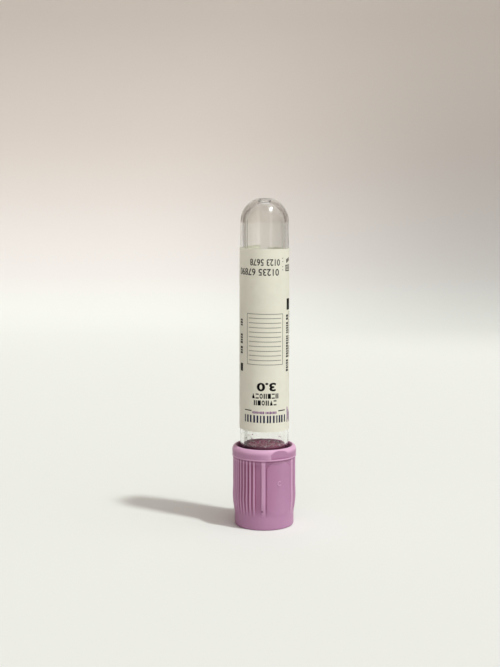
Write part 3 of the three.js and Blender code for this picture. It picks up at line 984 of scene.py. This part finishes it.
def cap_surface(cap):
    """The cap as bands of rows, each with its radii, heights and painted light and shade.

    The bands are the foot, the gripped wall, the collar's underside, the lip, the trimmed collar
    and the inside.
    """
    underside_shares = np.array([0.35, 0.7])[:, None]
    lip_start, lip_end = 0.45, 1.0
    collar_shade, shade_height = 0.6, 0.6 * MM

    turn = column_turns(cap.columns)[None, :]
    top = CAP_HIGH.z
    collar_base = top - cap.collar_height
    foot = foot_profile(cap)
    lip = lip_profile(collar_base, cap)
    collar = collar_profile(collar_base, top, cap)
    inside = inside_profile(top, cap)[1:]
    wall_heights = stretches(
        cap.foot_round,
        (cap.rib_foot, 5),
        (cap.rib_foot + cap.rib_run_out, 14),
        (cap.mark_height - 1.5 * cap.mark_radius, 7),
        (cap.mark_height + 1.5 * cap.mark_radius, 12),
        (collar_base - 1.3 * cap.pad_shoulder, 12),
        (collar_base, 20),
    )[1:, None]
    wall, wall_painted_light = grip(turn, wall_heights, collar_base, cap)
    # Painted shade on the wall just under the collar.
    wall_painted_light = wall_painted_light * (
        1 - collar_shade * smooth_step(wall_heights, collar_base - shade_height, collar_base)
    )
    lip_foot = cap.collar_radius - cap.edge_round
    underside = wall[-1:] * (1 - underside_shares) + lip_foot * underside_shares
    collar_wall, collar_painted_light = trimmed(collar[:, :1], collar[:, 1:], turn, top, cap)

    # The collar's underside and the cap's inside get a painted shade, and the lip a painted highlight
    # that grows towards its top.
    bands = (
        (foot[:, :1], foot[:, 1], PLAIN),
        (wall, wall_heights[:, 0], wall_painted_light),
        (underside, np.full(len(underside), collar_base), SHADED),
        (lip[:, :1], lip[:, 1], np.linspace(lip_start, lip_end, len(lip))[:, None]),
        (collar_wall, collar[:, 1], collar_painted_light),
        (inside[:, :1], inside[:, 1], SHADED),
    )

    def filled(values, heights):
        """The values for every height and column."""
        return np.broadcast_to(values, (len(heights), cap.columns))

    radius = np.concatenate([filled(radii, heights) for radii, heights, _ in bands])
    height = np.concatenate([heights for _, heights, _ in bands])
    painted_light = np.concatenate([filled(values, heights) for _, heights, values in bands])
    return *ring_surface(turned(radius, height[:, None], turn)), painted_light.ravel()


# ---- Tube, stopper and residue ----------------------------------------------------------------

def dome_height(tube):
    """Height of the outer round end's centre, from the gate's rim on its sphere."""
    return TUBE_HIGH.z - math.sqrt(tube.dome_radius**2 - tube.gate_radius**2)


def bore_dome_height(tube):
    """Height of the inner round end's centre."""
    return TUBE_HIGH.z - tube.end_wall - (tube.dome_radius - tube.dome_wall)


def tapered(height, mouth, end, end_height):
    """A radius that runs straight from the mouth's to the end's at the end's height."""
    share = (height - TUBE_LOW.z) / (end_height - TUBE_LOW.z)
    return mouth + (end - mouth) * share


def bore_radius(height, tube):
    """The inside's radius, tapered up to the inner round end."""
    end = tube.dome_radius - tube.dome_wall
    return tapered(height, TUBE_HIGH.x - tube.mouth_wall, end, bore_dome_height(tube))


def outer_radius(height, tube):
    """The outside's radius, tapered up to the outer round end."""
    return tapered(height, TUBE_HIGH.x, tube.dome_radius, dome_height(tube))


def gate_profile(tube):
    """The round end near the axis: the lower of the sphere and the bowl, and the nub on it.

    The bowl is the part of a sphere that is as wide as the gate and as deep as its bowl. The
    nub's side is a smooth step.
    """
    bowl = (tube.gate_radius**2 + tube.gate_depth**2) / (2 * tube.gate_depth)
    bowl_centre = TUBE_HIGH.z - tube.gate_depth + bowl
    nub_top, nub_foot = 0.7 * tube.nub_radius, 1.25 * tube.nub_radius
    radius = np.linspace(1.35 * tube.gate_radius, 0.0, 34)
    sphere = dome_height(tube) + np.sqrt(tube.dome_radius**2 - radius**2)
    hollow = bowl_centre - np.sqrt(np.maximum(bowl**2 - radius**2, 0.0))
    height = smooth_min(sphere, hollow, tube.gate_round)
    nub = 1.0 - smooth_step(radius, nub_top, nub_foot)
    return np.stack([radius, height + tube.nub_height * nub], axis=1)


def tube_surface(tube):
    """The tube's wall as one turned profile: down the bore, round the mouth and up outside."""
    bore_mouth = TUBE_HIGH.x - tube.mouth_wall
    bore_end = tube.dome_radius - tube.dome_wall
    bore_top, top = bore_dome_height(tube), dome_height(tube)
    edge = tube.mouth_round
    edge_top = TUBE_LOW.z + edge
    gate = gate_profile(tube)
    rim_angle = math.degrees(math.acos(gate[0, 0] / tube.dome_radius))
    points = profile(
        arc(0, bore_top, bore_end, 90, 0, 28),
        line((bore_end, bore_top), (bore_mouth, edge_top), 30),
        arc(bore_mouth + edge, edge_top, edge, 180, 270, 5),
        arc(TUBE_HIGH.x - edge, edge_top, edge, -90, 0, 5),
        line((TUBE_HIGH.x, edge_top), (tube.dome_radius, top), 30),
        arc(0, top, tube.dome_radius, 0, rim_angle, 26),
        gate,
    )
    points[0, 0] = 0.0  # the arc starts a hair off the axis
    return spun_surface(points, tube.columns)


def dish_height(radius, stopper):
    """Height of the inner face, which falls by the dish's depth in a smooth step to its floor."""
    slope = stopper.dish_radius - stopper.dish_floor
    fall = 1 - smooth_step(radius, stopper.dish_floor - slope / 2, stopper.dish_radius + slope / 2)
    return STOPPER_HIGH.z - stopper.dish_depth * fall


def stopper_surface(stopper):
    """The stopper as one turned profile: the well, the head, the plug and its dished face."""
    base, face = STOPPER_LOW.z, STOPPER_HIGH.z
    head_edge, edge, foot_edge, tip_edge = (
        stopper.head_round, stopper.edge_round, stopper.foot_edge, stopper.plug_round
    )
    head = STOPPER_HIGH.x - head_edge
    head_top = base + stopper.head_height
    well, well_end = stopper.well_radius, base + stopper.well_depth
    foot, tip = stopper.plug_foot, stopper.plug_tip
    rim = 2 * stopper.dish_radius - stopper.dish_floor
    dish = np.linspace(rim, 0.0, 24)
    points = profile(
        line((0, well_end), (well - edge, well_end), 4),
        arc(well - edge, well_end - edge, edge, 90, 0, 4),
        arc(well + edge, base + edge, edge, 180, 270, 4),
        arc(head, base + head_edge, head_edge, -90, 0, 5),
        arc(head, head_top - head_edge, head_edge, 0, 90, 5),
        line((foot + foot_edge, head_top), (foot, head_top + foot_edge), 2),
        line((foot, head_top + foot_edge), (tip, face - tip_edge), 10),
        arc(tip - tip_edge, face - tip_edge, tip_edge, 0, 90, 6),
        line((tip - tip_edge, face), (rim, face), 4),
        np.stack([dish, dish_height(dish, stopper)], axis=1),
    )
    return spun_surface(points, stopper.columns)


def droplet_template():
    """A flattened bead, one unit in radius: half an ellipse turned round Z."""
    flattening, rows, columns = 0.55, 4, 8
    points = arc(0, 0, 1.0, -90, 90, rows + 1, rise=flattening)
    points[[0, -1], 0] = 0.0  # both poles lie on the axis
    return spun_surface(points, columns)


def scattered(places, normals, radii):
    """One droplet at each place, on its normal: the template's axes times each radius.

    The template's sides lie along cross products of the normal and an axis that is far from it.
    """
    vertices, faces = droplet_template()
    upright = np.abs(normals[:, 2:]) > 0.9
    side = np.cross(np.where(upright, [[1.0, 0.0, 0.0]], [[0.0, 0.0, 1.0]]), normals)
    side /= np.linalg.norm(side, axis=1, keepdims=True)
    frames = np.stack([side, np.cross(normals, side), normals], axis=1)
    moved = places[:, None, :] + radii[:, None, None] * np.einsum("vk,nkc->nvc", vertices, frames)
    offsets = np.arange(len(places)) * len(vertices)
    all_faces = [[corner + int(offset) for corner in face] for offset in offsets for face in faces]
    return moved.reshape(-1, 3), all_faces


def wall_residue(tube, residue, draws):
    """Droplets on the bore between the stopper and the label.

    Five larger ones come first, at places of their own on the front. The others are strewn
    evenly, and the cube of a random number keeps most of them small.
    """
    low = STOPPER_HIGH.z + 0.3 * MM
    high = LABEL_LOW.z - 0.2 * MM
    larger_turns = FRONT_TURN + np.radians([-33.0, -46.0, -32.0, -43.0, 42.0])
    larger_heights = low + np.array([3.0, 2.7, 1.9, 1.6, 2.4]) * MM
    larger_radii = np.array([0.2, 0.14, 0.15, 0.12, 0.16]) * MM
    number = residue.wall_droplets
    size_range = residue.largest - residue.smallest
    height = np.concatenate([larger_heights, low + (high - low) * draws.random(number)])
    turn = np.concatenate([larger_turns, 2 * math.pi * draws.random(number)])
    radii = np.concatenate([larger_radii, residue.smallest + size_range * draws.random(number) ** 3])
    return scattered(turned(bore_radius(height, tube), height, turn), -turned(1.0, 0.0, turn), radii)


def face_residue(stopper, residue, draws):
    """Droplets strewn evenly over the stopper's inner face.

    The square root of a random number spreads them evenly, and the square keeps most small.
    """
    number = residue.face_droplets
    outer = stopper.plug_tip - stopper.plug_round
    size_range = residue.face_largest - residue.face_smallest
    radius = outer * np.sqrt(draws.random(number))
    turn = 2 * math.pi * draws.random(number)
    radii = residue.face_smallest + size_range * draws.random(number) ** 2
    upwards = np.tile([0.0, 0.0, 1.0], (number, 1))
    return scattered(turned(radius, dish_height(radius, stopper), turn), upwards, radii)


# ---- Label and print --------------------------------------------------------------------------

def label_radius(height, tube):
    """The paper's outer radius: the CAD label's at its low edge, less the tube's draft."""
    return LABEL_HIGH.x + outer_radius(height, tube) - outer_radius(LABEL_LOW.z, tube)


def on_label(across, height, lift, settings):
    """Wraps a flat place: across becomes a turn from the front, and the skew tilts heights."""
    radius = label_radius(height, settings.tube)
    turn = FRONT_TURN + across / radius
    return turned(radius + lift, height - settings.label.skew * across, turn)


def label_surface(settings):
    """The paper's outer face, short of a full turn by the window at the back."""
    label = settings.label
    reach = (math.pi - label.window / 2) * label_radius(LABEL_HIGH.z, settings.tube)
    across = np.linspace(-reach, reach, label.columns + 1)[None, :]
    height = np.linspace(LABEL_LOW.z, LABEL_HIGH.z, label.rows + 1)[:, None]
    points = on_label(across, height, 0.0, settings)
    rows, columns = points.shape[:2]
    return points.reshape(-1, 3), grid_quads(rows, columns, close_columns=False).tolist()


class Plate:
    """The print of one ink, collected as flat patches and then wrapped round the label.

    Places and sizes are in millimetres: across is counted from the middle of the front, to the
    right, and heights are the tube's.
    """

    def __init__(self, settings):
        self.settings = settings
        self.ink_step = settings.label.ink_step / MM
        self.points = []
        self.faces = []
        self.size = 0

    def add(self, points, faces):
        """Adds a patch of (across, height) points and its faces."""
        self.points.append(np.asarray(points, dtype=float))
        self.faces.extend([[corner + self.size for corner in face] for face in faces])
        self.size += len(points)

    def quad(self, low_left, low_right, high_left, high_right):
        """A four-sided patch, cut into columns that are no wider than the ink's step."""
        lows, highs = np.array([low_left, low_right]), np.array([high_left, high_right])
        width = max(abs(lows[1, 0] - lows[0, 0]), abs(highs[1, 0] - highs[0, 0]))
        steps = max(1, math.ceil(width / self.ink_step))
        rows = [line(lows[0], lows[1], steps), line(highs[0], highs[1], steps)]
        self.add(np.concatenate(rows), grid_quads(2, steps + 1, close_columns=False).tolist())

    def bar(self, left, right, low, high):
        """An upright rectangle."""
        self.quad((left, low), (right, low), (left, high), (right, high))

    def frame(self, left, right, low, high, stroke):
        """The outline of a rectangle."""
        self.bar(left, right, low, low + stroke)
        self.bar(left, right, high - stroke, high)
        self.bar(left, left + stroke, low + stroke, high - stroke)
        self.bar(right - stroke, right, low + stroke, high - stroke)

    def ring(self, left, right, low, high, stroke):
        """An upright oval outline: two ellipses of points, joined by quads."""
        columns = 28
        turn = -2 * math.pi * np.arange(columns) / columns
        half = (high - low) / 2
        squash = (right - left) / (2 * half)
        circle = np.stack([squash * np.cos(turn), np.sin(turn)], axis=1)
        centre = np.array([(left + right) / 2, low + half])
        points = np.concatenate([centre + circle * half, centre + circle * (half - stroke)])
        self.add(points, grid_quads(2, columns).tolist())

    def numbers(self, text, left, right, low, high, weight):
        """Upside-down figures that fill a rectangle, cut into narrow columns."""
        curve = bpy.data.curves.new("figures", "FONT")
        curve.body = text
        curve.offset = weight
        curve.resolution_u = 4
        holder = link_object("figures", curve)
        mesh = bpy.data.meshes.new_from_object(holder)
        bpy.data.objects.remove(holder)
        bpy.data.curves.remove(curve)
        flat = bmesh.new()
        flat.from_mesh(mesh)
        bpy.data.meshes.remove(mesh)
        places = np.array([vertex.co[:2] for vertex in flat.verts])
        lowest, highest = places.min(axis=0), places.max(axis=0)
        step = self.ink_step * (highest[0] - lowest[0]) / (right - left)
        for cut in np.arange(lowest[0] + step, highest[0], step):
            bmesh.ops.bisect_plane(
                flat,
                geom=flat.verts[:] + flat.edges[:] + flat.faces[:],
                plane_co=(cut, 0, 0),
                plane_no=(1, 0, 0),
            )
        flat.verts.index_update()
        share = (np.array([vertex.co[:2] for vertex in flat.verts]) - lowest) / (highest - lowest)
        faces = [[vertex.index for vertex in face.verts] for face in flat.faces]
        flat.free()
        self.add(np.array([right, high]) - share * [right - left, high - low], faces)

    def surface(self):
        """Vertices and faces of the wrapped print."""
        across, height = np.concatenate(self.points).T * MM
        return on_label(across, height, self.settings.label.ink_height, self.settings), self.faces


def greeked_line(plate, start, end, low, high, draws, upright=False, fill=0.62):
    """Small print shown as short dashes in words, along a line or up the label.

    A dash is a quarter to a half as long as the line is high, and trimmed at both of its ends by
    up to half of what the fill leaves.
    """
    size = high - low
    letter_gap, word_gap, too_short = 0.16 * size, 0.35 * size, 0.3 * size
    fewest_letters, most_letters = 4, 9
    place = start
    while place < end - too_short:
        for _ in range(int(draws.integers(fewest_letters, most_letters + 1))):
            dash = size * (0.25 + 0.25 * draws.random())
            if place + dash > end:
                break
            inset = size * 0.5 * (1 - fill) * draws.random()
            if upright:
                plate.bar(low + inset, high - inset, place, place + dash)
            else:
                plate.bar(place, place + dash, low + inset, high - inset)
            place += dash + letter_gap
        place += word_gap


def figure_lines(plate):
    """Two lines of plain figures near the label's far end."""
    weight = 0.01
    plate.numbers("0123 5678", -3.9, 4.1, 68.05, 69.75, weight)
    plate.numbers("01235 67890", -7.8, 3.8, 65.55, 67.3, weight)


def side_marks(plate):
    """Small signs beside the figures: three steps, a framed pair of bars and four dots."""
    step_width, step_height = 0.45, 0.9
    for left, low in ((6.6, 68.75), (7.2, 68.95), (7.8, 69.15)):
        plate.bar(left, left + step_width, low, low + step_height)
    plate.frame(6.2, 8.7, 66.6, 68.2, stroke=0.24)
    for left in (6.75, 7.6):
        plate.bar(left, left + 0.5, 67.0, 67.8)
    for low in (66.9, 67.7, 69.0, 69.8):
        plate.bar(5.0, 5.2, low, low + 0.22)


def block_word(plate, left, right, low, high, kinds):
    """A bold word stood in for by simple shapes: blocks, pairs of strokes, rings and wedges."""
    stroke = 0.3
    half_tip = 0.02
    pitch = (right - left) / len(kinds)
    width = 0.78 * pitch
    for index, kind in enumerate(kinds):
        start = left + index * pitch
        end = start + width
        middle = (start + end) / 2
        if kind == "block":
            plate.bar(start, end, low, high)
        elif kind == "pair":
            plate.bar(start, start + stroke, low, high)
            plate.bar(end - stroke, end, low, high)
        elif kind == "rungs":
            plate.bar(start, end, low, low + stroke)
            plate.bar(start, end, high - stroke, high)
        elif kind == "ring":
            plate.ring(start, end, low, high, stroke)
        elif kind == "wedge":
            plate.quad((start, low), (end, low), (middle - half_tip, high), (middle + half_tip, high))


def bold_block(plate):
    """The capacity as a plain figure, and under it two words as simple shapes."""
    plate.numbers("3.0", -2.0, 3.0, 36.1, 38.3, weight=0.035)
    upper = ["wedge", "rungs", "ring", "pair", "block", "rungs", "pair"]
    lower = ["pair", "block", "ring", "pair", "wedge", "rungs"]
    block_word(plate, -3.35, 3.95, 34.2, 35.5, upper)
    block_word(plate, -2.8, 3.4, 32.45, 33.75, lower)


def edge_print(plate, draws):
    """Small print up both sides of the front, and a bold block beside each."""
    for start, end in ((52.5, 54.5), (47.9, 51.1), (45.3, 47.3)):
        greeked_line(plate, start, end, -7.9, -6.7, draws, upright=True, fill=0.9)
    plate.bar(-7.9, -6.6, 40.8, 42.8)
    plate.bar(6.9, 8.9, 56.7, 59.6)
    greeked_line(plate, 40.9, 56.2, 6.6, 7.8, draws, upright=True, fill=0.9)
    greeked_line(plate, 44.5, 56.2, 8.4, 9.2, draws, upright=True)


def ruled_panel(plate):
    """A panel to write on: a fine frame with evenly spaced rules."""
    left, right, low, high = -4.9, 5.2, 42.8, 55.9
    stroke, margin, spaces = 0.17, 0.6, 11
    plate.frame(left, right, low, high, stroke)
    for height in np.linspace(low, high, spaces + 1)[1:-1]:
        plate.bar(left + margin, right - margin, height - stroke / 2, height + stroke / 2)


def side_fields(plate, draws):
    """Rules to write on up the label's hidden left side, each with a small caption."""
    stroke, caption_height = 0.14, 0.9
    for across in (-10.2, -12.8, -15.4):
        plate.bar(across, across + stroke, 31.0, 61.5)
        greeked_line(plate, 62.3, 67.5, across, across + caption_height, draws, upright=True)


def bar_strip(plate, draws):
    """A strip of upright bars of uneven widths."""
    left, last_start, right, low, high = -5.7, 6.0, 6.2, 27.9, 29.8
    place = left
    while place < last_start:
        width = 0.22 + 0.38 * draws.random()
        plate.bar(place, min(place + width, right), low, high)
        place += width + 0.26 + 0.3 * draws.random()


def violet_marks(plate, draws):
    """A small line between the two rules, and three narrow bars on the right."""
    greeked_line(plate, -3.2, 3.5, 30.2, 30.9, draws, fill=0.7)
    for left, low, high in ((7.1, 27.6, 31.6), (7.75, 28.2, 30.9), (8.3, 27.6, 30.2)):
        plate.bar(left, left + 0.4, low, high)


def rules(plate):
    """The two short rules beside the small violet line."""
    for left, right in ((-5.7, -3.5), (3.75, 6.1)):
        plate.bar(left, right, 30.85, 31.1)


# ---- Stage ------------------------------------------------------------------------------------

def stage_surface(stage):
    """The floor, a quarter circle up from it, and the wall, carried straight across."""
    start, radius = stage.wall_start, stage.sweep_radius
    bend = arc(start, radius, radius, -90, 0, 40)
    points = profile((-stage.floor_front, 0.0), bend, (start + radius, stage.wall_height))
    across = np.array([-stage.half_width, stage.half_width])
    x, y = np.broadcast_arrays(across[None, :], points[:, :1])
    height = np.broadcast_to(points[:, 1:], x.shape)
    grid = np.stack([x, y, height], axis=-1)
    return grid.reshape(-1, 3), grid_quads(len(points), 2, close_columns=False).tolist()


def add_stage(settings):
    """The floor with its backdrop."""
    material = studio_paper(settings.colours, settings.stage)
    mesh = new_mesh("studio_sweep", stage_surface(settings.stage), material)
    sweep = link_object("studio_sweep", mesh)


def direction(turn, height):
    """A unit vector, from its turn and its height over the floor."""
    flat = math.cos(height)
    return Vector((flat * math.cos(turn), flat * math.sin(turn), math.sin(height)))


def add_sun(settings):
    """The key light, aimed at the object."""
    stage = settings.stage
    light = bpy.data.lights.new("key_light", "SUN")
    light.energy = stage.sun_strength
    light.color = settings.colours.key_light
    light.angle = stage.sun_size
    sun = link_object("key_light", light)
    towards_sun = direction(stage.sun_turn, stage.sun_height)
    sun.rotation_euler = towards_sun.to_track_quat("Z", "Y").to_euler()


def add_world(settings):
    """Even light from all round, and a soft glow where the dot product with its middle is high.

    Seen through the tube, the even light is as pale as the walls of a room.
    """
    stage, colours = settings.stage, settings.colours
    graph = Graph(bpy.data.worlds.new("even_light"))
    outwards = graph.node("ShaderNodeTexCoord", output="Generated")
    middle = direction(stage.glow_turn, stage.glow_height)
    towards_glow = graph.vector_math("DOT_PRODUCT", outwards, middle)
    glow = graph.step(towards_glow, math.cos(stage.glow_reach), 1.0)
    seen = graph.node("ShaderNodeLightPath", output="Is Transmission Ray")
    ambient, room = rgba(colours.ambient, stage.ambient), rgba(colours.room, stage.seen_ambient)
    tone = graph.mix(glow, graph.mix(seen, ambient, room), rgba(colours.glow, stage.glow))
    light = graph.node("ShaderNodeBackground", sockets={"Color": tone, "Strength": 1.0})
    bpy.context.scene.world = graph.finish(light, "ShaderNodeOutputWorld")


def add_camera(stage):
    """The camera in front of the object, a little above its top."""
    data = bpy.data.cameras.new("camera")
    data.lens = stage.lens
    data.sensor_width = SENSOR_WIDTH
    data.clip_start = 10 * MM
    camera = link_object("camera", data)
    camera.location = (stage.camera_side, -stage.camera_distance, stage.camera_height)
    camera.rotation_euler = (math.pi / 2 - stage.camera_tilt, 0, 0)
    bpy.context.scene.camera = camera


# ---- Operators --------------------------------------------------------------------------------

class COLLECTION_TUBE_OT_cap(Operator):
    """Build the moulded cap"""

    bl_idname = "collection_tube.cap"
    bl_label = "Cap"

    def execute(self, context):
        settings = context.scene.collection_tube
        material = cap_plastic(settings.cap, settings.colours)
        add_piece("cap_shell", cap_surface(settings.cap), material, "closure", ["cap"])
        return {"FINISHED"}


class COLLECTION_TUBE_OT_stopper(Operator):
    """Build the rubber stopper"""

    bl_idname = "collection_tube.stopper"
    bl_label = "Stopper"

    def execute(self, context):
        settings = context.scene.collection_tube
        material = stopper_rubber(settings.colours)
        surface = stopper_surface(settings.stopper)
        add_piece("stopper_plug", surface, material, "closure", ["stopper"])
        return {"FINISHED"}


class COLLECTION_TUBE_OT_tube(Operator):
    """Build the clear tube"""

    bl_idname = "collection_tube.tube"
    bl_label = "Tube"

    def execute(self, context):
        settings = context.scene.collection_tube
        material = clear_polyester(settings.tube, settings.colours)
        surface = tube_surface(settings.tube)
        add_piece("clear_tube", surface, material, "barrel", ["tube"])
        return {"FINISHED"}


class COLLECTION_TUBE_OT_label(Operator):
    """Build the paper label"""

    bl_idname = "collection_tube.label"
    bl_label = "Label"

    def execute(self, context):
        settings = context.scene.collection_tube
        material = label_paper(settings.colours.paper)
        surface = label_surface(settings)
        add_piece("paper_label", surface, material, "barrel", ["label"])
        return {"FINISHED"}


class COLLECTION_TUBE_OT_print(Operator):
    """Build the label's print, one piece for each ink"""

    bl_idname = "collection_tube.print"
    bl_label = "Print"

    def execute(self, context):
        settings = context.scene.collection_tube
        label, colours = settings.label, settings.colours
        draws = np.random.default_rng(label.seed)
        black, grey, navy, violet = (Plate(settings) for _ in range(4))
        figure_lines(black)
        side_marks(black)
        bold_block(black)
        edge_print(black, draws)
        rules(black)
        ruled_panel(grey)
        side_fields(grey, draws)
        bar_strip(navy, draws)
        violet_marks(violet, draws)
        inks = (
            ("print_black", black, colours.black_ink),
            ("print_grey", grey, colours.grey_ink),
            ("print_navy", navy, colours.navy_ink),
            ("print_violet", violet, colours.violet_ink),
        )
        for name, plate, ink in inks:
            piece = add_piece(name, plate.surface(), printing_ink(name, ink), "barrel")
            thicken(piece, label.ink_height - label.ink_gap)
        return {"FINISHED"}


class COLLECTION_TUBE_OT_residue(Operator):
    """Build the dried additive's droplets"""

    bl_idname = "collection_tube.residue"
    bl_label = "Residue"

    def execute(self, context):
        settings = context.scene.collection_tube
        draws = np.random.default_rng(settings.residue.seed)
        material = dried_additive(settings.colours.residue)
        on_wall = wall_residue(settings.tube, settings.residue, draws)
        on_face = face_residue(settings.stopper, settings.residue, draws)
        add_piece("wall_droplets", on_wall, material, "barrel")
        add_piece("face_droplets", on_face, material, "closure")
        return {"FINISHED"}


class COLLECTION_TUBE_OT_stage(Operator):
    """Build the floor, backdrop, lights and camera"""

    bl_idname = "collection_tube.stage"
    bl_label = "Stage"

    def execute(self, context):
        settings = context.scene.collection_tube
        context.scene.view_settings.view_transform = "Standard"
        add_stage(settings)
        add_sun(settings)
        add_world(settings)
        add_camera(settings.stage)
        return {"FINISHED"}


BUILDERS = (
    COLLECTION_TUBE_OT_cap,
    COLLECTION_TUBE_OT_stopper,
    COLLECTION_TUBE_OT_tube,
    COLLECTION_TUBE_OT_label,
    COLLECTION_TUBE_OT_print,
    COLLECTION_TUBE_OT_residue,
    COLLECTION_TUBE_OT_stage,
)
GROUPS = (
    TubeSizes, LabelSizes, StopperSizes, CapSizes, ResidueSizes, Colours, StageSettings,
    CollectionTubeSettings,
)


class COLLECTION_TUBE_PT_panel(Panel):
    """Lists the builders and every size and colour"""

    bl_idname = "COLLECTION_TUBE_PT_panel"
    bl_label = "Collection Tube"
    bl_space_type = "VIEW_3D"
    bl_region_type = "UI"
    bl_category = "Collection Tube"

    def draw(self, context):
        for builder in BUILDERS:
            self.layout.operator(builder.bl_idname)
        settings = context.scene.collection_tube
        for group_name in CollectionTubeSettings.__annotations__:
            group = getattr(settings, group_name)
            box = self.layout.box()
            box.label(text=group_name.capitalize())
            for name in type(group).__annotations__:
                box.prop(group, name)


def register():
    """Registers every class and adds the settings to the scene."""
    for group in (*GROUPS, *BUILDERS, COLLECTION_TUBE_PT_panel):
        bpy.utils.register_class(group)
    bpy.types.Scene.collection_tube = PointerProperty(type=CollectionTubeSettings)


def unregister():
    """Undoes what register did."""
    del bpy.types.Scene.collection_tube
    for group in reversed((*GROUPS, *BUILDERS, COLLECTION_TUBE_PT_panel)):
        bpy.utils.unregister_class(group)


def main():
    """Registers the add-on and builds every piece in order."""
    register()
    for builder in BUILDERS:
        getattr(bpy.ops.collection_tube, builder.bl_idname.split(".")[1])()


if __name__ == "__main__":
    main()
